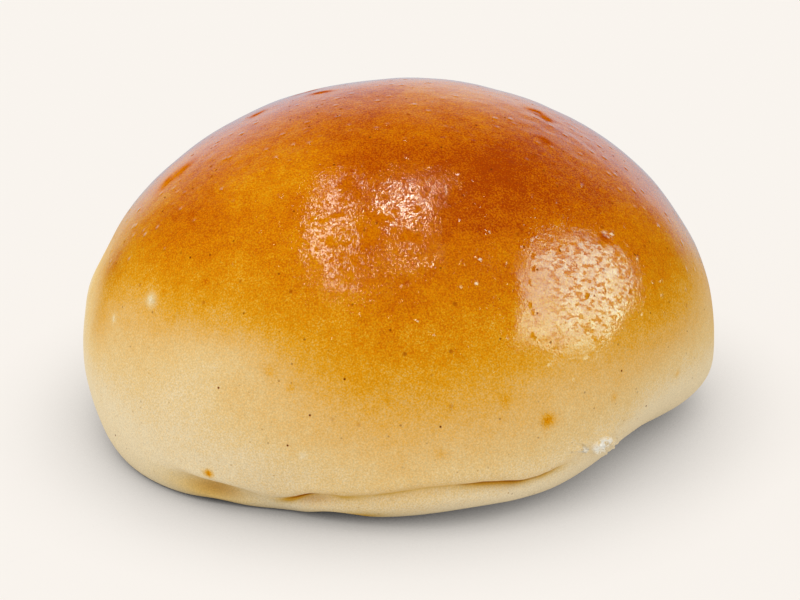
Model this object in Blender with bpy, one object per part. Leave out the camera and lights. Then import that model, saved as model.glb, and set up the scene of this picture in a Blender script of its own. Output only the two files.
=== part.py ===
"""A brioche bun: one glossy, egg-washed roll, baked on its own.

The bun is one solid. It starts as a sphere, whose rings and segments are laid onto the bun's
skin: a high round dome, a widest level low down, sides that roll in to a flat base, and round the
front a fold where the dome hangs over a soft lip of dough.

Units are metres, +Z is up, and the bun rests on z = 0. The front, with the fold, faces -Y.
Azimuths are degrees round +Z, from +X towards +Y, so the front is at -90.
"""

import math

import bmesh
import bpy
import numpy as np

NAME = "bun"

# Driving dimensions of the smooth form
HALF_WIDTH = 0.0500
HALF_DEPTH = 0.0460
HEIGHT = 0.0516
WIDEST_HEIGHT = 0.0080
FOOT_SHARE = 0.85

# How the plain oval differs from side to side. Each row is a soft swell or hollow:
# azimuth, half width in degrees, growth of the radius, change of the foot's share of that radius,
# and rise of the widest level in metres
SIDES = (
    (-148, 34, 0.043, 0.098, 0.0063),
    (-112, 12, -0.012, -0.010, 0.0010),
    (-76, 12, 0.000, -0.070, -0.0008),
    (-28, 30, -0.115, -0.185, 0.0042),
    (-10, 16, 0.043, 0.000, -0.0016),
    (176, 30, 0.000, -0.070, 0.0000),
)
WIDEST_SPREAD = 1.2
# The height over which a side's growth dies away, so that the dome above stays round
SIDE_FADE = 0.0240

# The fold, from the left end round the front to the right end: azimuth, height and depth
FOLD = (
    (-136, 0.0049, 0.0000),
    (-129, 0.0046, 0.0008),
    (-121, 0.0039, 0.0007),
    (-116, 0.0032, 0.0003),
    (-112.5, 0.0034, 0.0006),
    (-108.5, 0.0047, 0.0016),
    (-100, 0.0055, 0.0009),
    (-94, 0.0062, 0.0010),
    (-88, 0.0073, 0.0010),
    (-80, 0.0076, 0.0010),
    (-73, 0.0073, 0.0014),
    (-69, 0.0067, 0.0013),
    (-65.5, 0.0068, 0.0008),
    (-61, 0.0075, 0.0006),
    (-56, 0.0076, 0.0000),
)
FOLD_AWAY_HEIGHT = 0.0060
FOLD_AWAY_TURN = 25

# The fold's section, all heights measured from the fold's own line
GROOVE_ABOVE = 0.0007
GROOVE_BELOW = 0.0017
LIP_DROP = 0.0032
LIP_REACH = 0.0016
LIP_SHARE = 0.25
OVERHANG_RISE = 0.0012
OVERHANG_SHARE = 0.20
SAG_SHARE = 0.35
SAG_RISE = 0.0003
SAG_REACH = 0.0010
SAG_FADE = 0.0020

# A hollow under the fold's left end, measured from the fold's line
HOLLOW_AZIMUTH = -126
HOLLOW_TURN = 6
HOLLOW_DROP = 0.0013
HOLLOW_REACH = 0.0012
HOLLOW_DEPTH = 0.0020

# Soft swells on the dome: azimuth, height, half width round, half width up, how far it stands out
SWELLS = (
    (-175, 0.0215, 7, 0.0035, 0.0005),
    (-128, 0.0330, 22, 0.0080, 0.0004),
    (-58, 0.0260, 20, 0.0090, -0.0004),
    (-95, 0.0200, 24, 0.0080, -0.0003),
    (40, 0.0300, 26, 0.0100, 0.0004),
    (115, 0.0240, 24, 0.0100, -0.0005),
)

# A torn scrap of dough at the right end of the fold
TEAR_AZIMUTH = -51
TEAR_HEIGHT = 0.0098
TEAR_TURN = 2.6
TEAR_REACH = 0.0012
TEAR_OUT = 0.0010

# The net of the skin: rings from the top to the fold, across it, on to the foot, and in the base
SEGMENTS = 100
DOME_RINGS = 21
FOLD_RINGS = 14
FOOT_RINGS = 6
BASE_RINGS = 4
RINGS = DOME_RINGS + FOLD_RINGS + FOOT_RINGS + BASE_RINGS
FOLD_START = 0.12
FOLD_STOP = 0.13

CRUST_COLOUR = (0.55, 0.24, 0.045, 1.0)
CRUST_ROUGHNESS = 0.35
SHARP_ANGLE = 90


def clear_scene():
    for item in list(bpy.data.objects):
        bpy.data.objects.remove(item, do_unlink=True)


def hill(distance, reach):
    """1 at no distance, falling smoothly to nothing past the reach."""
    return np.exp(-((distance / reach) ** 2))


def turn_between(azimuth, centre):
    """The angle from a centre azimuth, between -180 and 180 degrees."""
    return (azimuth - centre + 180) % 360 - 180


def along_fold(column, azimuth, away):
    """One of the fold's values, on a smooth curve through its rows and level beyond the ends."""
    turn = [row[0] for row in FOLD]
    turn = np.array([turn[0] - FOLD_AWAY_TURN, *turn, turn[-1] + FOLD_AWAY_TURN])
    value = np.array([away, *(row[column] for row in FOLD), away])
    slope = np.gradient(value, turn)
    slope[[0, -1]] = 0
    at = np.clip(azimuth, turn[0], turn[-1])
    left = np.clip(np.searchsorted(turn, at, side="right") - 1, 0, len(turn) - 2)
    gap = turn[left + 1] - turn[left]
    share = (at - turn[left]) / gap
    rest = 1 - share
    return (
        (1 + 2 * share) * rest**2 * value[left]
        + (3 - 2 * share) * share**2 * value[left + 1]
        + share * rest**2 * gap * slope[left]
        - share**2 * rest * gap * slope[left + 1]
    )


def body_outline(azimuth):
    """Round the bun: the plain oval's radius, its growth low down, the foot's share of that
    radius, and the height of the widest level."""
    angle = np.radians(azimuth)
    oval = 1 / np.hypot(np.cos(angle) / HALF_WIDTH, np.sin(angle) / HALF_DEPTH)
    growth = np.zeros_like(oval)
    foot_share = np.full_like(oval, FOOT_SHARE)
    widest = np.full_like(oval, WIDEST_HEIGHT)
    for centre, turn, grow, foot, rise in SIDES:
        distance = turn_between(azimuth, centre)
        growth += grow * hill(distance, turn)
        foot_share += foot * hill(distance, turn)
        widest += rise * hill(distance, turn * WIDEST_SPREAD)
    return oval, growth, foot_share, widest


def fold_place(azimuth, widest):
    """Where the fold's line lies on the way down the skin: 0 is the top, 0.5 the widest, 1 the foot."""
    height = along_fold(1, azimuth, FOLD_AWAY_HEIGHT)
    above = np.arccos(np.clip((height - widest) / (HEIGHT - widest), 0, 1)) / math.pi
    below = 0.5 + np.arcsin(np.clip(1 - height / widest, 0, 1)) / math.pi
    return np.where(height > widest, above, below)


def way_down(ring, fold):
    """The place on the skin of each ring, with the rings gathered round the fold's line."""
    stops = np.cumsum([0, DOME_RINGS, FOLD_RINGS, FOOT_RINGS, BASE_RINGS])
    ends = (fold * 0, fold - FOLD_START, fold + FOLD_STOP, fold * 0 + 1, fold * 0 + 2)
    place = np.zeros_like(fold)
    for start, stop, first, last in zip(stops, stops[1:], ends, ends[1:]):
        share = np.clip((ring - start) / (stop - start), 0, 1)
        place = np.where(ring >= start, first + (last - first) * share, place)
    return place


def bun_skin(azimuth, place):
    """Radius and height of the skin at each azimuth and place on the way down."""
    oval, growth, foot_share, widest = body_outline(azimuth)
    angle = np.clip(place, 0, 1) * math.pi
    below = np.clip(angle - math.pi / 2, 0, math.pi / 2)
    upper = place <= 0.5
    height = np.where(upper, widest + (HEIGHT - widest) * np.cos(angle), widest * (1 - np.sin(below)))
    radius = oval * (1 + growth * hill(height, SIDE_FADE))
    foot = oval * (1 + growth) * foot_share
    reach = np.where(upper, radius * np.sin(angle), foot + (radius - foot) * np.cos(below))

    for centre, level, turn, tall, out in SWELLS:
        reach += out * hill(turn_between(azimuth, centre), turn) * hill(height - level, tall)

    depth = np.clip(along_fold(2, azimuth, 0), 0, None)
    rise = height - along_fold(1, azimuth, FOLD_AWAY_HEIGHT)
    groove = np.where(rise > 0, hill(rise, GROOVE_ABOVE), hill(rise, GROOVE_BELOW))
    lip = LIP_SHARE * hill(rise + LIP_DROP, LIP_REACH)
    overhang = OVERHANG_SHARE * hill(rise - OVERHANG_RISE, OVERHANG_RISE)
    sag = SAG_SHARE * hill(rise - SAG_RISE, SAG_REACH) * np.clip(height / SAG_FADE, 0, 1)
    tear = hill(turn_between(azimuth, TEAR_AZIMUTH), TEAR_TURN) * hill(height - TEAR_HEIGHT, TEAR_REACH)
    hollow = hill(turn_between(azimuth, HOLLOW_AZIMUTH), HOLLOW_TURN)
    hollow *= hill(rise + HOLLOW_DROP, HOLLOW_REACH)
    reach += depth * (lip + overhang - groove) + TEAR_OUT * tear - HOLLOW_DEPTH * hollow
    height = np.maximum(height - depth * sag, 0)

    inward = np.clip(place - 1, 0, 1)
    reach = np.where(place > 1, foot * (1 - inward), reach)
    height = np.where(place >= 1, 0, height)
    return reach, height


def crust_material():
    material = bpy.data.materials.new("egg washed crust")
    material.use_nodes = True
    shader = material.node_tree.nodes["Principled BSDF"]
    shader.inputs["Base Color"].default_value = CRUST_COLOUR
    shader.inputs["Roughness"].default_value = CRUST_ROUGHNESS
    shader.inputs["Metallic"].default_value = 0.0
    material.diffuse_color = CRUST_COLOUR
    return material


def make_bun():
    """A sphere of rings and segments, laid onto the bun's skin and centred over the origin."""
    net = bmesh.new()
    bmesh.ops.create_uvsphere(net, u_segments=SEGMENTS, v_segments=RINGS, radius=1)
    mesh = bpy.data.meshes.new(NAME)
    net.to_mesh(mesh)
    net.free()

    points = np.empty(len(mesh.vertices) * 3, dtype=np.float32)
    mesh.vertices.foreach_get("co", points)
    across, deep, up = points.reshape(-1, 3).astype(float).T
    azimuth = np.degrees(np.arctan2(deep, across))
    ring = np.round(np.arccos(np.clip(up, -1, 1)) / math.pi * RINGS)
    widest = body_outline(azimuth)[3]
    reach, height = bun_skin(azimuth, way_down(ring, fold_place(azimuth, widest)))

    angle = np.radians(azimuth)
    flat = np.stack([reach * np.cos(angle), reach * np.sin(angle)], axis=1)
    flat -= (flat.min(axis=0) + flat.max(axis=0)) / 2
    mesh.vertices.foreach_set("co", np.column_stack([flat, height]).astype(np.float32).ravel())
    mesh.update()
    mesh.shade_smooth()
    mesh.set_sharp_from_angle(angle=math.radians(SHARP_ANGLE))
    mesh.materials.append(crust_material())
    return bpy.data.objects.new(NAME, mesh)


def main():
    clear_scene()
    collection = bpy.data.collections.new("brioche")
    bpy.context.scene.collection.children.link(collection)
    collection.objects.link(make_bun())


main()
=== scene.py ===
"""The looks of one glossy, egg-washed brioche bun, on a plain pale floor.

Metres, +Z up, front towards -Y. Azimuths are degrees round +Z, from +X towards +Y, so the front
is at -90. Heights are measured from the floor.
"""

import math

import bmesh
import bpy
import numpy as np
from mathutils import Matrix, Vector, noise


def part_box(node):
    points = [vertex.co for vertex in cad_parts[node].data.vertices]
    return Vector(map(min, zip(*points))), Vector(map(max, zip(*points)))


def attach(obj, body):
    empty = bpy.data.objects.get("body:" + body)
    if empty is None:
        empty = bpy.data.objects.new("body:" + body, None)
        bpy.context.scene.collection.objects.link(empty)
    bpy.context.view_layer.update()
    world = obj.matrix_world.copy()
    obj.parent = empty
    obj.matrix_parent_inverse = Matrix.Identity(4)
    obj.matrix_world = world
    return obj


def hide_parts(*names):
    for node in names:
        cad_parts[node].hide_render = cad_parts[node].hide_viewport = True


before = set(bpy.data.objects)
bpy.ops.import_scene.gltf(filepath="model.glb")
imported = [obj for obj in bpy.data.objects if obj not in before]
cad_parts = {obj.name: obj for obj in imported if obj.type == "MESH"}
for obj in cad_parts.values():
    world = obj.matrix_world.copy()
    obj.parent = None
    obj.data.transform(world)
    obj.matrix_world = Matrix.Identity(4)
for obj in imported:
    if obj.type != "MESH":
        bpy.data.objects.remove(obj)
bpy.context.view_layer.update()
BUN_LOW, BUN_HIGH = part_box("bun")
MM = 0.001

# Camera: where it looks, from how far and how high, and its lens
CAMERA_TARGET = (-0.00008, 0.00008, 0.0170)
CAMERA_DISTANCE = 0.300
CAMERA_ELEVATION = 22.0
CAMERA_AZIMUTH = -90.0
CAMERA_LENS = 85.0
CAMERA_SENSOR = 36.0

# The bun's driving dimensions, as in the solid
HALF_WIDTH = 0.0500
HALF_DEPTH = 0.0460
HEIGHT = 0.0516
WIDEST_HEIGHT = 0.0080
FOOT_SHARE = 0.85

# Soft swells and hollows round the sides: azimuth, half width in degrees, growth of the radius,
# change of the foot's share of that radius, and rise of the widest level
SIDES = (
    (-148, 34, 0.043, 0.098, 0.0063),
    (-112, 12, -0.012, -0.010, 0.0010),
    (-76, 12, 0.000, -0.070, -0.0008),
    (-28, 30, -0.115, -0.185, 0.0042),
    (-10, 16, 0.043, 0.000, -0.0016),
    (176, 30, 0.000, -0.070, 0.0000),
)
WIDEST_SPREAD = 1.2
SIDE_FADE = 0.0240

# The fold, from the left end round the front to the right end: azimuth, height and depth
FOLD = (
    (-136, 0.0049, 0.0000),
    (-129, 0.0046, 0.0008),
    (-121, 0.0039, 0.0007),
    (-116, 0.0032, 0.0003),
    (-112.5, 0.0034, 0.0006),
    (-108.5, 0.0047, 0.0016),
    (-100, 0.0055, 0.0009),
    (-94, 0.0062, 0.0010),
    (-88, 0.0073, 0.0010),
    (-80, 0.0076, 0.0010),
    (-73, 0.0073, 0.0014),
    (-69, 0.0067, 0.0013),
    (-65.5, 0.0068, 0.0008),
    (-61, 0.0075, 0.0006),
    (-56, 0.0076, 0.0000),
)
# Past its ends the fold's line runs level at this height, which it reaches over this many degrees
FOLD_AWAY_HEIGHT = 0.0060
FOLD_AWAY_TURN = 25
# The depth from which the fold's creases, and its stain with painted shade, show in full
FOLD_FULL_DEPTH = 0.0010

# The fold's section, all heights measured from the fold's own line
GROOVE_ABOVE = 0.0007
GROOVE_BELOW = 0.0017
LIP_DROP = 0.0032
LIP_REACH = 0.0016
LIP_SHARE = 0.25
OVERHANG_RISE = 0.0012
OVERHANG_SHARE = 0.20
SAG_SHARE = 0.35
SAG_RISE = 0.0003
SAG_REACH = 0.0010
SAG_FADE = 0.0020

# Soft swells on the dome: azimuth, height, half width round, half width up, how far it stands out
SWELLS = (
    (-175, 0.0215, 7, 0.0035, 0.0005),
    (-128, 0.0330, 22, 0.0080, 0.0004),
    (-58, 0.0260, 20, 0.0090, -0.0004),
    (-95, 0.0200, 24, 0.0080, -0.0003),
    (40, 0.0300, 26, 0.0100, 0.0004),
    (115, 0.0240, 24, 0.0100, -0.0005),
)
# A scrap of dough that stands out at the right end of the fold
TEAR_AZIMUTH = -51
TEAR_HEIGHT = 0.0098
TEAR_TURN = 2.6
TEAR_REACH = 0.0012
TEAR_OUT = 0.0010

# Where the fold closes to a narrow crack: azimuth, half width in degrees, depth
CRACKS = (
    (-109, 4, 0.0008),
    (-73, 6, 0.0009),
    (-64, 4, 0.0003),
)
CRACK_REACH = 0.00024
# Hollows under the fold: azimuth, half width in degrees, how far below the line, half height, depth
HOLLOWS = (
    (-126, 6, 0.0013, 0.0012, 0.0020),
    (-107, 4, 0.0010, 0.0008, 0.0004),
)
# Where the foot's edge lifts off the floor: azimuth, half width in degrees, how high
FOOT_LIFTS = (
    (-127, 5, 0.0005),
    (-103, 4, 0.0010),
    (-70, 7, 0.0003),
)
FOOT_LIFT_TALL = 0.0014
FOOT_LIFT_INWARD = 0.06
# Torn crumb at the right end of the fold: azimuth, height, half width in degrees, half height, share
TEARS = (
    (-57, 0.0097, 2.0, 0.0006, 0.5),
    (-52, 0.0092, 2.0, 0.0012, 1.0),
    (-48, 0.0080, 2.4, 0.0010, 0.4),
    (-45, 0.0058, 2.4, 0.0014, 0.3),
)
TORN_GAIN = 2
TEAR_WAVE = 0.0013
TEAR_RAGGED = 0.0018
# Crinkled skin: azimuth, height, half width in degrees, half height, how far it stands out
CRINKLES = (
    (-64, 0.0120, 5, 0.0045, 0.00022),
    (-47, 0.0100, 5, 0.0040, 0.00020),
    (-10, 0.0460, 30, 0.0040, 0.00012),
    (-150, 0.0430, 30, 0.0040, 0.00008),
)
CRINKLE_WAVE = 0.0024

# The fine net of the skin, with its segments gathered towards the front
SEGMENTS = 420
DOME_RINGS = 112
FOLD_RINGS = 72
FOOT_RINGS = 22
BASE_RINGS = 10
RINGS = DOME_RINGS + FOLD_RINGS + FOOT_RINGS + BASE_RINGS
FOLD_START = 0.12
FOLD_STOP = 0.13
FRONT_AZIMUTH = -90
FRONT_GATHER = 0.42
# How closely the rings gather at the fold's line: 1 is evenly spaced
FOLD_GATHER = 0.45

# Relief that the fine net adds along the normal: size of one wave and how far it stands out
LUMP_WAVE = 0.0150
LUMP_OUT = 0.00022
RIPPLE_WAVE = 0.0042
RIPPLE_OUT = 0.00003
CREASE_WAVE = 0.0026
CREASE_OUT = 0.00012
CREASE_REACH = 0.0030
RELIEF_FADE = 0.0030

# Browning by height: height, share browned
BROWNING = (
    (-0.004, 0.00),
    (0.004, 0.06),
    (0.010, 0.17),
    (0.018, 0.30),
    (0.022, 0.37),
    (0.026, 0.48),
    (0.030, 0.60),
    (0.034, 0.69),
    (0.038, 0.75),
    (0.042, 0.80),
    (0.046, 0.84),
    (0.0495, 0.72),
    (0.052, 0.66),
)
# Where the browning starts higher or lower: azimuth, half width in degrees, how much higher
BROWNING_SHIFTS = (
    (-145, 42, 0.0080),
    (-25, 26, 0.0010),
    (40, 40, -0.0020),
    (120, 40, 0.0030),
)
# Darker and paler patches of the crown: azimuth, height, half width round, half width up, change
PATCHES = (
    (-56, 0.0445, 26, 0.0058, 0.16),
    (-76, 0.0420, 10, 0.0030, 0.06),
    (-105, 0.0468, 26, 0.0025, 0.06),
    (-30, 0.0080, 34, 0.0080, -0.13),
    (-36, 0.0180, 14, 0.0060, -0.05),
    # Paler along the right edge of the outline: painted sheen
    (-12, 0.0240, 12, 0.0080, -0.12),
    (-58, 0.0200, 12, 0.0060, -0.08),
    (-93, 0.0280, 13, 0.0120, 0.08),
    (-97, 0.0048, 16, 0.0045, 0.07),
    (-128, 0.0205, 16, 0.0060, -0.10),
    (-128, 0.0460, 14, 0.0030, -0.08),
    (-175, 0.0120, 22, 0.0100, -0.10),
    # Paler along the left edge of the outline: partly paler crust, partly painted sheen
    (-179, 0.0230, 12, 0.0100, -0.24),
    (-158, 0.0220, 4, 0.0080, 0.06),
    (-146, 0.0380, 14, 0.0050, 0.17),
    (-143, 0.0320, 14, 0.0040, 0.05),
    (-136, 0.0435, 16, 0.0030, -0.12),
    (-67, 0.0376, 4, 0.0016, -0.14),
    (-67, 0.0338, 4, 0.0022, 0.10),
    (-161, 0.0287, 5, 0.0030, 0.16),
    (-15, 0.0100, 25, 0.0100, -0.05),
    (-165, 0.0400, 10, 0.0080, -0.05),
    (-120, 0.0235, 10, 0.0040, -0.06),
    (-62, 0.0020, 20, 0.0035, -0.05),
    (-80, 0.0030, 22, 0.0025, -0.05),
    (70, 0.0440, 30, 0.0070, 0.10),
    (150, 0.0420, 26, 0.0060, 0.08),
)
# Marks on the skin: azimuth, height, radius, how far it stands out, change of the browning
MARKS = (
    (-143, 0.0281, 0.00100, 0.00016, -0.36),
    (-152, 0.0233, 0.00055, 0.00010, -0.20),
    (-132, 0.0323, 0.00050, 0.00014, 0.14),
    (-129, 0.0326, 0.00045, 0.00010, 0.12),
    (-141, 0.0296, 0.00045, 0.00004, 0.16),
    (-135, 0.0409, 0.00090, 0.00004, -0.12),
    (-126, 0.0061, 0.00055, -0.00010, 0.62),
    (-122, 0.0196, 0.00220, 0.00000, 0.05),
    (-115, 0.0228, 0.00080, 0.00003, 0.12),
    (-111, 0.0207, 0.00070, 0.00003, 0.12),
    (-108, 0.0119, 0.00060, 0.00008, -0.10),
    (-98, 0.0255, 0.00080, 0.00006, -0.08),
    (-91, 0.0202, 0.00080, 0.00010, -0.05),
    (-90, 0.0346, 0.00045, -0.00012, 0.26),
    (-84, 0.0124, 0.00070, 0.00000, 0.10),
    (-72, 0.0194, 0.00070, 0.00000, 0.14),
    (-64, 0.0155, 0.00090, -0.00008, 0.30),
    (-60, 0.0156, 0.00070, 0.00012, -0.04),
    (-49, 0.0155, 0.00060, 0.00000, 0.14),
    (-40.5, 0.0366, 0.00055, -0.00018, 0.30),
    (-56, 0.0300, 0.00050, -0.00010, 0.10),
    (-60, 0.0455, 0.00045, -0.00012, 0.22),
    (-37, 0.0412, 0.00050, -0.00010, 0.16),
    (-146.5, 0.0295, 0.00060, 0.00000, 0.14),
    (-27, 0.0135, 0.00060, -0.00006, 0.18),
)
# Spots that the egg wash has missed: azimuth, height, half width in degrees, half height
BARE_SPOTS = (
    (-168, 0.0402, 2.7, 0.0019),
    (174, 0.0470, 3, 0.0005),
    (165, 0.0500, 4, 0.0004),
    (150, 0.0486, 5, 0.0005),
    (128, 0.0480, 3, 0.0006),
    (0, 0.0481, 3, 0.0005),
    (-5, 0.0475, 3, 0.0004),
    (-28, 0.0468, 2, 0.0005),
    (30, 0.0450, 4, 0.0007),
    (-40.5, 0.0366, 0.9, 0.0004),
)
BARE_GAIN = 1.5
BARE_WAVE = 0.0016
BARE_BROWNER = 0.12
# The small dark specks that stand out most: azimuth and height
PIN_SPECKS = (
    (-101, 0.0226),
    (-138, 0.0345),
    (-124, 0.0198),
    (-107, 0.0178),
    (-149, 0.0057),
    (-111, 0.0128),
    (-116, 0.0464),
    (-88, 0.0440),
    (-84, 0.0166),
    (-47, 0.0193),
    (-37, 0.0110),
    (-35, 0.0331),
    (-161.5, 0.0501),
    (-150.5, 0.0498),
    (-158, 0.0489),
    (-138, 0.0500),
    (-153, 0.0433),
    (-161.5, 0.0384),
    (-157, 0.0372),
    (-108, 0.0489),
    (-89, 0.0514),
    (-74, 0.0478),
    (-48, 0.0494),
    (-60, 0.0455),
)
PIN_RADIUS = 0.00021
# Where the glaze lies smooth: azimuth, height, half width in degrees, half height
SMOOTH_GLAZE = (
    (-63, 0.0320, 5, 0.0060),
    (-68, 0.0300, 3, 0.0050),
)
SMOOTH_GAIN = 1.3
SMOOTH_SHARE = 0.7
# Where the glaze is broken into fine flecks: azimuth, height, half width in degrees, half height
FLECKED_GLAZE = (
    (-101, 0.0405, 26, 0.0100),
)
FLECKED_GAIN = 1.3
FLECKED_ELSEWHERE = 0.35
# Stains in the fold, partly the dough's own colour and partly painted shade in the crease and the hollow
# under it: azimuth, half width in degrees, how far below the line, half height, share
FOLD_STAINS_AND_SHADE = (
    (-128, 8, 0.0022, 0.0022, 0.43),
    (-110, 4, 0.0004, 0.0007, 0.85),
    (-101, 4, 0.0004, 0.0006, 0.45),
    (-92, 8, 0.0002, 0.0004, 0.45),
    (-73, 7, 0.0003, 0.0007, 1.00),
    (-64, 4, 0.0004, 0.0006, 0.45),
    (-99, 5, 0.0042, 0.0010, 0.55),
)
# How strongly the fold's line is stained: partly painted shade along the crease
FOLD_LINE_STAIN_AND_SHADE = 0.30
# Over how much height a stain, with its painted shade, fades out across the fold's line
STAIN_AND_SHADE_EDGE = 0.0006
FOLD_LINE_DROP = 0.0003
FOLD_LINE_REACH = 0.0004

# The crust's colour from pale to deeply browned, in sRGB
CRUST_COLOURS = (
    (0.00, (236, 218, 180)),
    (0.13, (231, 199, 138)),
    (0.29, (227, 174, 84)),
    (0.37, (225, 162, 44)),
    (0.45, (222, 150, 14)),
    (0.60, (214, 128, 4)),
    (0.75, (202, 109, 4)),
    (0.90, (186, 86, 3)),
    (1.00, (166, 64, 2)),
)
# The fold's colours from olive-tan to orange: partly the dough's own colour, partly painted shade in the
# crease
STAIN_AND_SHADE_COLOURS = ((0.0, (208, 178, 92)), (1.0, (212, 148, 12)))
CRUMB_COLOUR = (252, 248, 234)
POCK_COLOUR = (150, 66, 6)
SPECK_COLOUR = (116, 50, 6)
PORE_COLOUR = (176, 128, 58)
# The range that noise mostly keeps to
NOISE_RANGE = (0.3, 0.7)
# Mottling from soft clouds to a fine grain: wave, octaves, roughness, change of the browning
MOTTLING = (
    (7.00 * MM, 3, 0.5, 0.060),
    (1.80 * MM, 3, 0.5, 0.065),
    (0.25 * MM, 1, 0.6, 0.170),
)
# The shares browned between which the mottling grows, and its strength at each
MOTTLING_GROWS = (0.25, 0.6, 0.28, 1.0)
# A fine light and dark grain over all the colours
GRAIN_WAVE = 0.22 * MM
GRAIN_RANGE = (0.90, 1.10)
# The strength at which the fold's stain, partly painted shade, hides the crust's own colour, and how torn
# crumb breaks up into white grains
STAIN_AND_SHADE_FULL = 0.5
CRUMB_WAVE = 0.9 * MM
CRUMB_EDGE = (0.36, 0.48)
TORN_EDGE = (0.25, 0.6)

# Scattered spots: spacing, share of the places that hold one, and radius
PORES = (1.5 * MM, 0.30, 0.20 * MM)
POCKS = (3.2 * MM, 0.40, 0.45 * MM)
SPECKS = (1.7 * MM, 0.26, 0.24 * MM)
BUBBLES = (0.9 * MM, 0.35, 0.24 * MM)
BLISTERS = (2.0 * MM, 0.40, 0.75 * MM)
# How sharp the coloured spots are, and how strong: pores fade where the glaze starts to cover them,
# and specks are fainter on the pale sides than on the crown
PORE_EDGE = (0.1, 0.7)
PORE_SHARE = 0.6
PORE_GLAZE = 0.7
POCK_EDGE = (0.1, 0.6)
POCK_SHARE = 0.65
SPECK_EDGE = (0.1, 0.5)
SPECK_SHARES = (0.35, 0.70)

# Relief in the material: waves, and how far each stands out
WRINKLE_WAVE = 1.5 * MM
WRINKLE_OUT = 0.050 * MM
NET_WAVE = 0.34 * MM
NET_OUT = 0.032 * MM
BUBBLE_OUT = 0.038 * MM
BLISTER_OUT = 0.200 * MM
ROUND_POWER = 2.0
CRUMBLE_WAVE = 0.6 * MM
CRUMBLE_OUT = 0.16 * MM
PIT_OUT = -0.02 * MM
# The share of that relief left under a smooth glaze, and on the pale sides
SMOOTH_RELIEF = 0.15
PALE_RELIEF = 0.5

# The share browned at which the egg wash starts to shine, and where it shines in full
GLAZE_START = 0.14
GLAZE_FULL = 0.50
# Flecks that break the glaze: the fine pricks, and the clumps that they lie in
PRICK_WAVE = 0.46 * MM
PRICK_EDGE = (0.465, 0.495)
CLUMP_WAVE = 2.6 * MM
CLUMP_EDGE = (0.39, 0.54)
# The strokes of the pastry brush in the glaze: their turn, how they are stretched, and how open
BRUSH_TURN = (0.5, 0.6, 0.4)
BRUSH_SCALE = (0.30, 1.0, 1.0)
STROKE_WAVE = 0.6 * MM
STROKE_WARP = 0.6
STROKE_EDGE = (0.43, 0.53)
STROKE_OPEN = 0.90
STROKE_FLECKED = 0.35
# How open the glaze is where it lies smooth, and the strength from which a speck opens it in full
SMOOTH_OPEN = 0.50
SPECK_OPEN = 0.3
# From how glancing a view the flecks and strokes start to close, and where they are closed
GLANCING = (0.40, 0.70)
# The finish of the crust on its crown and its pale sides, and that of the glaze over it
GLAZED_ROUGHNESS = 0.42
PALE_ROUGHNESS = 0.72
COAT_ROUGHNESS = 0.05
COAT_IOR = 1.5

# The floor: its colour in sRGB, the share of it that glows, and how far it darkens near the bun
FLOOR_COLOUR = (249, 244, 238)
FLOOR_SIZE = 6.0
FLOOR_GLOW = 0.80
FLOOR_MATTE = 0.18
SHADE_REACH = 0.021
SHADE_CURVE = 1.6
# How the shade changes from left to right: two places across, and its strength at each
SHADE_SIDES = (
    (-0.058, -0.036, 0.70, 1.00),
    (-0.025, 0.015, 1.12, 0.90),
)
# What the glaze reflects: a dark room, and a pale wall behind that fades at its foot, upwards and to
# the sides. The wall's edges are heights and distances across on a unit sphere
ROOM_LIGHT = (0.010, 0.012, 0.016, 1.0)
WALL_LIGHT = (0.75, 0.88, 1.02, 1.0)
WALL_FOOT = (-0.35, 0.08)
WALL_FOOT_SHARE = 0.55
WALL_LOW = 0.12
WALL_TOP = 0.82
WALL_LEFT = (-0.70, -0.38)
WALL_RIGHT = (0.45, 0.76)
# The soft light of the sky: its share that is even, and how it grows to the left and overhead
SKY_EVEN = 0.42
SKY_SLOPE = (-0.20, -0.05, 1.05)
# What the lit panels face, and how the width of the window lies
LIGHTS_AIM = (0, 0, 0.03)
WINDOW_ACROSS = (0.23, -0.66, -0.72)
# Lit panels that show in the glaze alone: name, shape, centre, how the width lies, width, length,
# radiance and colour
PANELS = (
    ("window", "ELLIPSE", (0.882, -0.261, 0.488), WINDOW_ACROSS, 0.90, 0.92, 7.2, (0.58, 1.0, 0.88)),
    ("window pane", "RECTANGLE", (0.853, -0.318, 0.504), WINDOW_ACROSS, 0.69, 0.76, 5.0, (0.60, 1.0, 0.88)),
    ("left strip", "RECTANGLE", (-0.24, -0.20, 0.95), (1, 0, 0), 0.11, 0.94, 14.0, (1.0, 0.94, 0.82)),
    ("right strip", "RECTANGLE", (0.052, -0.02, 0.97), (1, 0, 0), 0.060, 0.36, 38.0, (1.0, 0.97, 0.80)),
    ("tail strip", "RECTANGLE", (0.062, -0.37, 0.91), (1, 0, 0), 0.022, 0.26, 40.0, (1.0, 0.92, 0.70)),
)


def linear(colour):
    """An sRGB colour, 0 to 255, as linear RGBA."""
    share = np.array(colour) / 255
    value = np.where(share <= 0.04045, share / 12.92, ((share + 0.055) / 1.055) ** 2.4)
    return (*value.tolist(), 1.0)


def hill(distance, reach):
    """1 at no distance, falling smoothly to nothing past the reach."""
    return np.exp(-((distance / reach) ** 2))


def turn_between(azimuth, centre):
    """The angle from a centre azimuth, between -180 and 180 degrees."""
    return (azimuth - centre + 180) % 360 - 180


def around(azimuth, centre, turn):
    """1 at a centre azimuth, falling smoothly to nothing past a half width in degrees."""
    return hill(turn_between(azimuth, centre), turn)


def direction(azimuth, elevation):
    """The unit vector that points at an azimuth and elevation in degrees."""
    turn, up = math.radians(azimuth), math.radians(elevation)
    return Vector((math.cos(turn) * math.cos(up), math.sin(turn) * math.cos(up), math.sin(up)))


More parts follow.
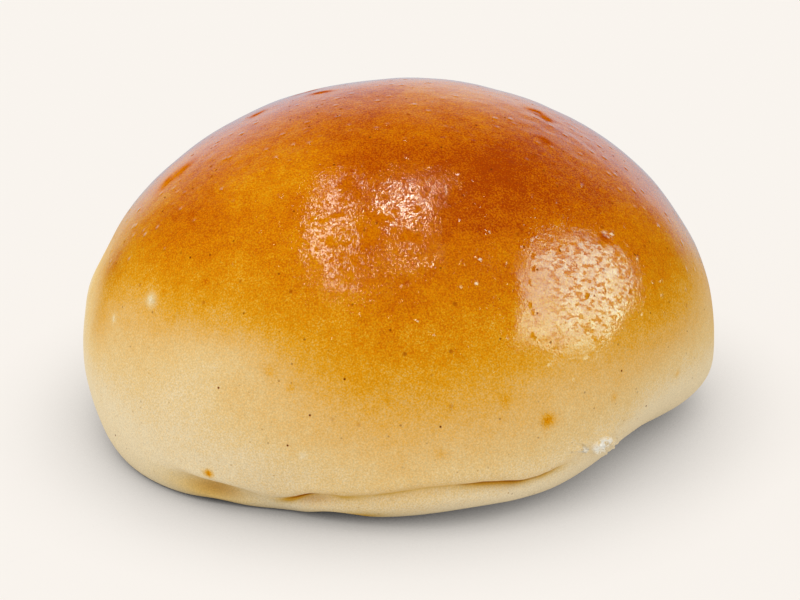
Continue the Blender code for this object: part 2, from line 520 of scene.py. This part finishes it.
def along_fold(column, azimuth, away):
    """One of the fold's values, on a smooth curve through its rows and level beyond the ends."""
    turn = [row[0] for row in FOLD]
    turn = np.array([turn[0] - FOLD_AWAY_TURN, *turn, turn[-1] + FOLD_AWAY_TURN])
    value = np.array([away, *(row[column] for row in FOLD), away])
    slope = np.gradient(value, turn)
    slope[[0, -1]] = 0
    at = np.clip(azimuth, turn[0], turn[-1])
    left = np.clip(np.searchsorted(turn, at, side="right") - 1, 0, len(turn) - 2)
    gap = turn[left + 1] - turn[left]
    share = (at - turn[left]) / gap
    rest = 1 - share
    return (
        (1 + 2 * share) * rest**2 * value[left]
        + (3 - 2 * share) * share**2 * value[left + 1]
        + share * rest**2 * gap * slope[left]
        - share**2 * rest * gap * slope[left + 1]
    )


def body_outline(azimuth):
    """Round the bun: the plain oval's radius, its growth low down, the foot's share of that
    radius, and the height of the widest level."""
    angle = np.radians(azimuth)
    oval = 1 / np.hypot(np.cos(angle) / HALF_WIDTH, np.sin(angle) / HALF_DEPTH)
    growth = np.zeros_like(oval)
    foot_share = np.full_like(oval, FOOT_SHARE)
    widest = np.full_like(oval, WIDEST_HEIGHT)
    for centre, turn, grow, foot, rise in SIDES:
        growth += grow * around(azimuth, centre, turn)
        foot_share += foot * around(azimuth, centre, turn)
        widest += rise * around(azimuth, centre, turn * WIDEST_SPREAD)
    return oval, growth, foot_share, widest


def fold_place(azimuth, widest):
    """Where the fold's line lies on the way down the skin: 0 is the top, 0.5 the widest, 1 the foot."""
    height = along_fold(1, azimuth, FOLD_AWAY_HEIGHT)
    above = np.arccos(np.clip((height - widest) / (HEIGHT - widest), 0, 1)) / math.pi
    below = 0.5 + np.arcsin(np.clip(1 - height / widest, 0, 1)) / math.pi
    return np.where(height > widest, above, below)


def way_down(ring, fold):
    """The place on the skin of each ring, with the rings gathered round the fold's line."""
    stops = np.cumsum([0, DOME_RINGS, FOLD_RINGS, FOOT_RINGS, BASE_RINGS])
    ends = (fold * 0, fold - FOLD_START, fold + FOLD_STOP, fold * 0 + 1, fold * 0 + 2)
    place = np.zeros_like(fold)
    for start, stop, first, last in zip(stops, stops[1:], ends, ends[1:]):
        share = np.clip((ring - start) / (stop - start), 0, 1)
        if start == DOME_RINGS:
            signed = 2 * share - 1
            signed = signed * (FOLD_GATHER + (1 - FOLD_GATHER) * signed**2)
            gathered = fold + np.where(signed < 0, FOLD_START, FOLD_STOP) * signed
            place = np.where(ring >= start, gathered, place)
        else:
            place = np.where(ring >= start, first + (last - first) * share, place)
    return place


def bun_skin(azimuth, place):
    """Radius and height of the skin at each azimuth and place on the way down."""
    oval, growth, foot_share, widest = body_outline(azimuth)
    angle = np.clip(place, 0, 1) * math.pi
    below = np.clip(angle - math.pi / 2, 0, math.pi / 2)
    upper = place <= 0.5
    height = np.where(upper, widest + (HEIGHT - widest) * np.cos(angle), widest * (1 - np.sin(below)))
    radius = oval * (1 + growth * hill(height, SIDE_FADE))
    foot = oval * (1 + growth) * foot_share
    reach = np.where(upper, radius * np.sin(angle), foot + (radius - foot) * np.cos(below))

    for centre, level, turn, tall, out in SWELLS:
        reach += out * around(azimuth, centre, turn) * hill(height - level, tall)

    depth = np.clip(along_fold(2, azimuth, 0), 0, None)
    rise = height - along_fold(1, azimuth, FOLD_AWAY_HEIGHT)
    groove = np.where(rise > 0, hill(rise, GROOVE_ABOVE), hill(rise, GROOVE_BELOW))
    lip = LIP_SHARE * hill(rise + LIP_DROP, LIP_REACH)
    overhang = OVERHANG_SHARE * hill(rise - OVERHANG_RISE, OVERHANG_RISE)
    sag = SAG_SHARE * hill(rise - SAG_RISE, SAG_REACH) * np.clip(height / SAG_FADE, 0, 1)
    tear = around(azimuth, TEAR_AZIMUTH, TEAR_TURN) * hill(height - TEAR_HEIGHT, TEAR_REACH)
    reach += depth * (lip + overhang - groove) + TEAR_OUT * tear
    for centre, turn, deep in CRACKS:
        reach -= deep * around(azimuth, centre, turn) * hill(rise, CRACK_REACH)
    for centre, turn, drop, tall, deep in HOLLOWS:
        reach -= deep * around(azimuth, centre, turn) * hill(rise + drop, tall)
    lift = np.zeros_like(oval)
    for centre, turn, high in FOOT_LIFTS:
        lift += high * around(azimuth, centre, turn)
    height = height - depth * sag + lift * hill(height, FOOT_LIFT_TALL)

    inward = np.clip(place - 1, 0, 1)
    reach = np.where(place > 1, foot * (1 - inward), reach)
    height = np.where(place >= 1, lift * hill(inward, FOOT_LIFT_INWARD), height)
    return reach, np.maximum(height, 0)


def noise_at(points, wave, octaves=1):
    """Soft noise of about -1 to 1 at each point, with waves of a given size."""
    value = np.zeros(len(points))
    for octave in range(octaves):
        scale = 2**octave / wave
        value += np.array([noise.noise(Vector(point)) for point in points * scale]) / 2**octave
    return value


def patches_at(azimuth, height, rows):
    """The sum of soft oval patches: azimuth, height, half width in degrees, half height, and how
    strong the patch is, or full strength where the row doesn't say."""
    value = np.zeros_like(azimuth)
    for centre, level, turn, tall, *change in rows:
        strength = change[0] if change else 1.0
        value += strength * around(azimuth, centre, turn) * hill(height - level, tall)
    return value


def folded_at(azimuth):
    """How fully the fold has formed at an azimuth, 0 to 1."""
    return np.clip(along_fold(2, azimuth, 0) / FOLD_FULL_DEPTH, 0, 1)


def skin_point(points, azimuth, height, turn, level):
    """The point of the net nearest to an azimuth and height on the dome."""
    apart = np.hypot(np.radians(turn_between(azimuth, turn)) * HALF_WIDTH, height - level)
    return points[np.argmin(apart)]


def marks_at(points, azimuth, height):
    """What the marks add at each point: how far they stand out, and their change of the browning."""
    out = np.zeros_like(azimuth)
    change = np.zeros_like(azimuth)
    for turn, level, radius, stands, browner in MARKS:
        middle = skin_point(points, azimuth, height, turn, level)
        near = hill(np.linalg.norm(points - middle, axis=1), radius)
        out += stands * near
        change += browner * near
    return out, change


def relief(points, azimuth, height, torn):
    """How far the fine net stands out along its normal: lumps, ripples, creases by the fold, tears."""
    lumps = LUMP_OUT * noise_at(points, LUMP_WAVE, 2)
    ripples = RIPPLE_OUT * noise_at(points, RIPPLE_WAVE, 2)
    fold = along_fold(1, azimuth, FOLD_AWAY_HEIGHT)
    creases = CREASE_OUT * noise_at(points, CREASE_WAVE, 2) * folded_at(azimuth)
    creases *= hill(height - fold, CREASE_REACH)
    crinkles = noise_at(points, CRINKLE_WAVE, 2) * patches_at(azimuth, height, CRINKLES)
    ragged = TEAR_RAGGED * np.abs(noise_at(points, TEAR_WAVE, 2)) * np.clip(TORN_GAIN * torn, 0, 1)
    return (lumps + ripples + creases + crinkles + ragged) * np.clip(height / RELIEF_FADE, 0, 1)


def browning_of(azimuth, height):
    """How far the crust has browned, 0 to 1, at each place on the skin."""
    shift = np.zeros_like(azimuth)
    for centre, turn, higher in BROWNING_SHIFTS:
        shift += higher * around(azimuth, centre, turn)
    levels = [row[0] for row in BROWNING]
    shares = [row[1] for row in BROWNING]
    return np.interp(height - shift, levels, shares) + patches_at(azimuth, height, PATCHES)


def stain_and_shade_of(azimuth, height):
    """How strongly the fold is stained and darkened with painted shade in its crease and hollow, 0 to 1, at
    each place on the skin.
    """
    rise = height - along_fold(1, azimuth, FOLD_AWAY_HEIGHT)
    stain_and_shade = FOLD_LINE_STAIN_AND_SHADE * folded_at(azimuth) * hill(rise + FOLD_LINE_DROP, FOLD_LINE_REACH)
    for centre, turn, drop, tall, share in FOLD_STAINS_AND_SHADE:
        patch = share * around(azimuth, centre, turn) * hill(rise + drop, tall)
        stain_and_shade = np.maximum(stain_and_shade, patch * np.clip(0.5 - rise / STAIN_AND_SHADE_EDGE, 0, 1))
    return stain_and_shade


def store(mesh, name, values):
    """Keeps one number for each vertex, for the material to read."""
    attribute = mesh.attributes.new(name, "FLOAT", "POINT")
    attribute.data.foreach_set("value", values.astype(np.float32))


def ring_net():
    """The net of a closed round skin, pole to pole: each vertex's segment and ring, and the faces."""
    rings, segments = np.meshgrid(np.arange(1, RINGS), np.arange(SEGMENTS), indexing="ij")
    corner = 1 + np.arange((RINGS - 1) * SEGMENTS).reshape(RINGS - 1, SEGMENTS)
    beside = np.roll(corner, -1, axis=1)
    top, bottom = 0, corner[-1, -1] + 1
    quads = np.stack([corner[:-1], corner[1:], beside[1:], beside[:-1]], axis=-1).reshape(-1, 4)
    caps = [(top, a, b) for a, b in zip(corner[0], beside[0])]
    caps += [(bottom, b, a) for a, b in zip(corner[-1], beside[-1])]
    segment = np.concatenate([[0], segments.ravel(), [0]])
    ring = np.concatenate([[0], rings.ravel(), [RINGS]])
    return segment, ring, quads.tolist() + [tuple(int(v) for v in cap) for cap in caps]


def make_bun():
    """A net of rings and segments, laid onto the bun's skin, with its relief and its browning."""
    segment, ring, faces = ring_net()
    even = segment / SEGMENTS * 2 * math.pi
    azimuth = np.degrees(even - FRONT_GATHER * np.sin(even - math.radians(FRONT_AZIMUTH)))
    azimuth = turn_between(azimuth, 0)
    widest = body_outline(azimuth)[3]
    reach, height = bun_skin(azimuth, way_down(ring, fold_place(azimuth, widest)))

    angle = np.radians(azimuth)
    flat = np.stack([reach * np.cos(angle), reach * np.sin(angle)], axis=1)
    middle = np.array([(BUN_LOW[axis] + BUN_HIGH[axis]) / 2 for axis in (0, 1)])
    flat += middle - (flat.min(axis=0) + flat.max(axis=0)) / 2
    points = np.column_stack([flat, height])
    mesh = bpy.data.meshes.new("brioche_crust")
    mesh.from_pydata(points.tolist(), [], faces)
    mesh.update()

    torn = np.clip(patches_at(azimuth, height, TEARS), 0, 1)
    marks_out, marks_browned = marks_at(points, azimuth, height)
    normals = np.empty(len(mesh.vertices) * 3, dtype=np.float32)
    mesh.vertices.foreach_get("normal", normals)
    out = relief(points, azimuth, height, torn) + marks_out
    points += normals.reshape(-1, 3) * out[:, None]
    points[:, 2] = np.maximum(points[:, 2], 0)
    mesh.vertices.foreach_set("co", points.astype(np.float32).ravel())
    mesh.update()
    mesh.shade_smooth()

    browned = browning_of(azimuth, height)
    smooth = SMOOTH_SHARE * np.clip(SMOOTH_GAIN * patches_at(azimuth, height, SMOOTH_GLAZE), 0, 1)
    flecked = np.clip(FLECKED_GAIN * patches_at(azimuth, height, FLECKED_GLAZE), 0, 1)
    bare = BARE_GAIN * patches_at(azimuth, height, BARE_SPOTS)
    bare = np.clip(bare * (1 + noise_at(points, BARE_WAVE)), 0, 1)
    glaze = np.clip((browned - GLAZE_START) / (GLAZE_FULL - GLAZE_START), 0, 1)
    store(mesh, "browning", browned + marks_browned + BARE_BROWNER * bare)
    store(mesh, "glaze", glaze * (1 - bare))
    store(mesh, "smooth", smooth)
    store(mesh, "flecked", FLECKED_ELSEWHERE + (1 - FLECKED_ELSEWHERE) * flecked)
    # The fold's stain, partly painted shade in the crease and in the hollow under it
    store(mesh, "stain_and_shade", stain_and_shade_of(azimuth, height))
    store(mesh, "torn", torn)
    pins = [skin_point(points, azimuth, height, *place) for place in PIN_SPECKS]
    mesh.materials.append(crust_material(pins))
    bun = bpy.data.objects.new("brioche_crust", mesh)
    bpy.context.scene.collection.objects.link(bun)
    return bun


class Graph:
    """A short way to write a node tree: node gives back the node that it adds, and the other calls
    give back the output of what they add."""

    def __init__(self, tree):
        self.tree = tree

    def node(self, kind, inputs=(), **settings):
        made = self.tree.nodes.new(kind)
        for name, value in settings.items():
            setattr(made, name, value)
        for name, value in dict(inputs).items():
            if isinstance(value, bpy.types.NodeSocket):
                self.tree.links.new(value, made.inputs[name])
            else:
                made.inputs[name].default_value = value
        return made

    def math(self, operation, first, second):
        return self.node("ShaderNodeMath", {0: first, 1: second}, operation=operation).outputs[0]

    def add(self, first, second):
        return self.math("ADD", first, second)

    def times(self, first, second):
        return self.math("MULTIPLY", first, second)

    def between(self, value, low, high, to_low=0.0, to_high=1.0, kind="LINEAR"):
        """The value, brought from one range to another and held inside it."""
        inputs = {"Value": value, "From Min": low, "From Max": high, "To Min": to_low, "To Max": to_high}
        made = self.node("ShaderNodeMapRange", inputs, clamp=True, interpolation_type=kind)
        return made.outputs["Result"]

    def attribute(self, name):
        return self.node("ShaderNodeAttribute", attribute_name=name).outputs["Fac"]

    def ramp(self, value, stops):
        """Colours along a value: rows of a place from 0 to 1 and an sRGB colour."""
        made = self.node("ShaderNodeValToRGB", {"Fac": value})
        elements = made.color_ramp.elements
        while len(elements) < len(stops):
            elements.new(0.5)
        for element, (at, colour) in zip(elements, stops):
            element.position = at
            element.color = linear(colour)
        return made.outputs["Color"]

    def noise(self, where, wave, detail=2.0, roughness=0.5, distortion=0.0):
        """Noise of 0 to 1 with waves of a given size in metres."""
        inputs = {
            "Vector": where,
            "Scale": 1 / wave,
            "Detail": detail,
            "Roughness": roughness,
            "Distortion": distortion,
        }
        return self.node("ShaderNodeTexNoise", inputs).outputs["Fac"]

    def spots(self, where, spacing, share, radius):
        """1 at the middle of scattered spots and 0 outside them: spacing and radius in metres, and the
        share of the places that hold one."""
        cells = self.node("ShaderNodeTexVoronoi", {"Vector": where, "Scale": 1 / spacing})
        near = self.between(cells.outputs["Distance"], 0, radius / spacing, 1, 0)
        drawn = self.node("ShaderNodeSeparateColor", {"Color": cells.outputs["Color"]}).outputs["Red"]
        return self.times(near, self.math("LESS_THAN", drawn, share))

    def mix(self, share, first, second):
        made = self.node("ShaderNodeMix", data_type="RGBA")
        for name, value in ((0, share), (6, first), (7, second)):
            if isinstance(value, bpy.types.NodeSocket):
                self.tree.links.new(value, made.inputs[name])
            else:
                made.inputs[name].default_value = value
        return made.outputs[2]


def speckled(graph, place, pins):
    """Small dark specks: scattered ones, and those that stand out most."""
    specks = graph.between(graph.spots(place, *SPECKS), *SPECK_EDGE)
    specks = graph.times(specks, graph.between(graph.attribute("glaze"), 0, 1, *SPECK_SHARES))
    for pin in pins:
        apart = graph.node("ShaderNodeVectorMath", {0: place, 1: pin}, operation="DISTANCE").outputs["Value"]
        specks = graph.math("MAXIMUM", specks, graph.between(apart, 0.5 * PIN_RADIUS, PIN_RADIUS, 1, 0))
    return specks


def crust_colour(graph, place, specks, pocks):
    """Mottled browning, stains and painted shade in the fold, torn white crumb, pores low down, pocks and
    specks.
    """
    browned = graph.attribute("browning")
    glaze = graph.attribute("glaze")
    stain_and_shade = graph.attribute("stain_and_shade")

    uneven = 0.0
    for wave, octaves, roughness, change in MOTTLING:
        layer = graph.noise(place, wave, octaves, roughness)
        uneven = graph.add(uneven, graph.between(layer, *NOISE_RANGE, -change, change))
    level = graph.add(browned, graph.times(uneven, graph.between(browned, *MOTTLING_GROWS)))
    colour = graph.ramp(level, CRUST_COLOURS)

    # The fold's stain covers the crust's colour: partly its own colour, partly painted shade in the crease
    # and the hollow under it
    colour = graph.mix(graph.between(stain_and_shade, 0, STAIN_AND_SHADE_FULL), colour, graph.ramp(stain_and_shade, STAIN_AND_SHADE_COLOURS))
    crumbly = graph.between(graph.noise(place, CRUMB_WAVE, 2, 0.6), *CRUMB_EDGE)
    crumb = graph.times(graph.between(graph.attribute("torn"), *TORN_EDGE), crumbly)
    colour = graph.mix(crumb, colour, linear(CRUMB_COLOUR))
    pores = graph.between(graph.spots(place, *PORES), *PORE_EDGE, 0, PORE_SHARE)
    pores = graph.times(pores, graph.between(glaze, 0, PORE_GLAZE, 1, 0))
    colour = graph.mix(pores, colour, linear(PORE_COLOUR))
    colour = graph.mix(graph.times(pocks, graph.times(glaze, POCK_SHARE)), colour, linear(POCK_COLOUR))
    colour = graph.mix(specks, colour, linear(SPECK_COLOUR))
    shade = graph.between(graph.noise(place, GRAIN_WAVE, 1, 0.6), *NOISE_RANGE, *GRAIN_RANGE)
    shaded = graph.node("ShaderNodeVectorMath", {0: colour, "Scale": shade}, operation="SCALE")
    return shaded.outputs["Vector"]


def crust_relief(graph, place, specks):
    """The normal of the fine relief: wrinkles, a fine net, bubbles, torn crumb and the specks' pits."""
    wrinkles = graph.times(graph.noise(place, WRINKLE_WAVE, 2), WRINKLE_OUT)
    net = graph.times(graph.noise(place, NET_WAVE, 2, 0.6), NET_OUT)
    bubbles = graph.math("POWER", graph.spots(place, *BUBBLES), ROUND_POWER)
    blisters = graph.math("POWER", graph.spots(place, *BLISTERS), ROUND_POWER)
    bubbled = graph.add(graph.times(bubbles, BUBBLE_OUT), graph.times(blisters, BLISTER_OUT))
    rough = graph.between(graph.attribute("smooth"), 0, 1, 1, SMOOTH_RELIEF)
    skin = graph.times(graph.add(graph.add(wrinkles, net), bubbled), rough)
    skin = graph.times(skin, graph.between(graph.attribute("glaze"), 0, 1, PALE_RELIEF, 1))
    crumble = graph.times(graph.noise(place, CRUMBLE_WAVE, 3, 0.6), graph.attribute("torn"))
    height = graph.add(graph.add(skin, graph.times(crumble, CRUMBLE_OUT)), graph.times(specks, PIT_OUT))
    bump = graph.node("ShaderNodeBump", {"Strength": 1.0, "Distance": 1.0, "Height": height})
    return bump.outputs["Normal"]


def egg_wash(graph, place, specks, pocks):
    """How much of the surface the thin glaze covers. Specks and pocks leave it open, and so do flecks
    and brush strokes, though not at a glancing view."""
    glaze = graph.attribute("glaze")
    smooth = graph.attribute("smooth")
    flecked = graph.attribute("flecked")
    pricked = graph.between(graph.noise(place, PRICK_WAVE, 2, 0.7), *PRICK_EDGE)
    clumped = graph.between(graph.noise(place, CLUMP_WAVE, 2, 0.6), *CLUMP_EDGE)
    open_flecks = graph.times(flecked, graph.math("SUBTRACT", 1.0, graph.times(pricked, clumped)))

    brush = {"Vector": place, "Rotation": BRUSH_TURN, "Scale": BRUSH_SCALE}
    brushed = graph.node("ShaderNodeMapping", brush).outputs["Vector"]
    strokes = graph.noise(brushed, STROKE_WAVE, 3, 0.6, STROKE_WARP)
    strokes = graph.between(strokes, *STROKE_EDGE, STROKE_OPEN, 0)
    strokes = graph.times(strokes, graph.between(flecked, FLECKED_ELSEWHERE, 1, 1, STROKE_FLECKED))

    opened = graph.times(graph.math("MAXIMUM", open_flecks, strokes), graph.math("SUBTRACT", 1.0, smooth))
    opened = graph.add(opened, graph.times(smooth, SMOOTH_OPEN))
    glancing = graph.node("ShaderNodeLayerWeight", {"Blend": 0.5}).outputs["Facing"]
    opened = graph.times(opened, graph.between(glancing, *GLANCING, 1, 0))
    spotted = graph.math("MAXIMUM", graph.between(specks, 0, SPECK_OPEN), pocks)
    opened = graph.math("MAXIMUM", opened, spotted)
    return graph.times(glaze, graph.math("SUBTRACT", 1.0, opened))


def crust_material(pins):
    """Egg-washed crust: browned by height, mottled and speckled, shiny on top and matte below."""
    material = bpy.data.materials.new("egg washed crust")
    material.use_nodes = True
    graph = Graph(material.node_tree)
    place = graph.node("ShaderNodeTexCoord").outputs["Object"]
    specks = speckled(graph, place, pins)
    pocks = graph.between(graph.spots(place, *POCKS), *POCK_EDGE)
    normal = crust_relief(graph, place, specks)
    roughness = graph.between(graph.attribute("glaze"), 0, 1, PALE_ROUGHNESS, GLAZED_ROUGHNESS)

    shader = material.node_tree.nodes["Principled BSDF"]
    graph.tree.links.new(crust_colour(graph, place, specks, pocks), shader.inputs["Base Color"])
    graph.tree.links.new(normal, shader.inputs["Normal"])
    graph.tree.links.new(normal, shader.inputs["Coat Normal"])
    graph.tree.links.new(egg_wash(graph, place, specks, pocks), shader.inputs["Coat Weight"])
    graph.tree.links.new(roughness, shader.inputs["Roughness"])
    shader.inputs["Coat Roughness"].default_value = COAT_ROUGHNESS
    shader.inputs["Coat IOR"].default_value = COAT_IOR
    shader.inputs["Specular IOR Level"].default_value = 0.0
    return material


def floor_material():
    """A pale floor that stays light, with a soft neutral shade where something stands on it."""
    material = bpy.data.materials.new("pale floor")
    material.use_nodes = True
    graph = Graph(material.node_tree)
    shader = material.node_tree.nodes["Principled BSDF"]
    open_sky = graph.node("ShaderNodeAmbientOcclusion", {"Distance": SHADE_REACH}, samples=8).outputs["AO"]
    closed = graph.math("POWER", graph.math("SUBTRACT", 1.0, open_sky), SHADE_CURVE)
    place = graph.node("ShaderNodeTexCoord").outputs["Object"]
    across = graph.node("ShaderNodeSeparateXYZ", {"Vector": place}).outputs["X"]
    for row in SHADE_SIDES:
        closed = graph.times(closed, graph.between(across, *row))
    shade = graph.math("SUBTRACT", 1.0, closed)
    colour = graph.mix(shade, (0, 0, 0, 1), linear(FLOOR_COLOUR))
    dimmed = graph.mix(FLOOR_MATTE, (0, 0, 0, 1), colour)
    graph.tree.links.new(dimmed, shader.inputs["Base Color"])
    graph.tree.links.new(colour, shader.inputs["Emission Color"])
    shader.inputs["Emission Strength"].default_value = FLOOR_GLOW
    shader.inputs["Roughness"].default_value = 1.0
    shader.inputs["Specular IOR Level"].default_value = 0.0
    return material


def make_floor():
    net = bmesh.new()
    bmesh.ops.create_grid(net, x_segments=1, y_segments=1, size=FLOOR_SIZE / 2)
    mesh = bpy.data.meshes.new("floor")
    net.to_mesh(mesh)
    net.free()
    mesh.materials.append(floor_material())
    floor = bpy.data.objects.new("floor", mesh)
    bpy.context.scene.collection.objects.link(floor)
    floor.visible_glossy = False


def make_world():
    """A pale sky for soft light, which shiny surfaces see as a dim room with a pale wall behind."""
    world = bpy.data.worlds.new("studio")
    world.use_nodes = True
    bpy.context.scene.world = world
    graph = Graph(world.node_tree)
    background = world.node_tree.nodes["Background"]
    rays = graph.node("ShaderNodeLightPath").outputs
    where = graph.node("ShaderNodeTexCoord").outputs["Generated"]
    slope = graph.node("ShaderNodeVectorMath", {0: where, 1: SKY_SLOPE}, operation="DOT_PRODUCT")
    bright = graph.add(slope.outputs["Value"], SKY_EVEN)
    sky = graph.node("ShaderNodeCombineColor", {name: bright for name in ("Red", "Green", "Blue")})
    axes = graph.node("ShaderNodeSeparateXYZ", {"Vector": where}).outputs
    wall = graph.between(axes["Z"], WALL_LOW, WALL_TOP, 1, 0, "SMOOTHSTEP")
    wall = graph.times(wall, graph.between(axes["Z"], *WALL_FOOT, WALL_FOOT_SHARE, 1))
    wall = graph.times(wall, graph.between(axes["X"], *WALL_LEFT, 0, 1, "SMOOTHSTEP"))
    wall = graph.times(wall, graph.between(axes["X"], *WALL_RIGHT, 1, 0, "SMOOTHSTEP"))
    wall = graph.times(wall, graph.math("GREATER_THAN", axes["Y"], 0.0))
    room = graph.mix(wall, ROOM_LIGHT, WALL_LIGHT)
    seen = graph.mix(rays["Is Glossy Ray"], sky.outputs["Color"], room)
    seen = graph.mix(rays["Is Camera Ray"], seen, linear(FLOOR_COLOUR))
    graph.tree.links.new(seen, background.inputs["Color"])


def reflected_panel(name, shape, centre, across, width, length, radiance, colour):
    """A lit panel that shows in the glaze alone. It faces the bun, and its width lies along across."""
    light = bpy.data.lights.new(name, "AREA")
    light.shape = shape
    light.size = width
    light.size_y = length
    filled = math.pi / 4 if shape == "ELLIPSE" else 1
    light.energy = radiance * math.pi * width * length * filled
    light.color = colour
    panel = bpy.data.objects.new(name, light)
    panel.location = centre
    away = (Vector(centre) - Vector(LIGHTS_AIM)).normalized()
    side = Vector(across)
    side = (side - away * side.dot(away)).normalized()
    panel.rotation_euler = Matrix((side, away.cross(side), away)).transposed().to_euler()
    panel.visible_diffuse = False
    panel.visible_camera = False
    bpy.context.scene.collection.objects.link(panel)


def make_lights():
    for panel in PANELS:
        reflected_panel(*panel)


def make_camera():
    data = bpy.data.cameras.new("camera")
    data.lens = CAMERA_LENS
    data.sensor_width = CAMERA_SENSOR
    camera = bpy.data.objects.new("camera", data)
    away = direction(CAMERA_AZIMUTH, CAMERA_ELEVATION)
    camera.location = Vector(CAMERA_TARGET) + away * CAMERA_DISTANCE
    camera.rotation_euler = away.to_track_quat("Z", "Y").to_euler()
    bpy.context.scene.collection.objects.link(camera)
    bpy.context.scene.camera = camera


make_camera()
bun = make_bun()
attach(bun, "root")
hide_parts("bun")
make_floor()
make_world()
make_lights()
bpy.context.scene.view_settings.view_transform = "Standard"
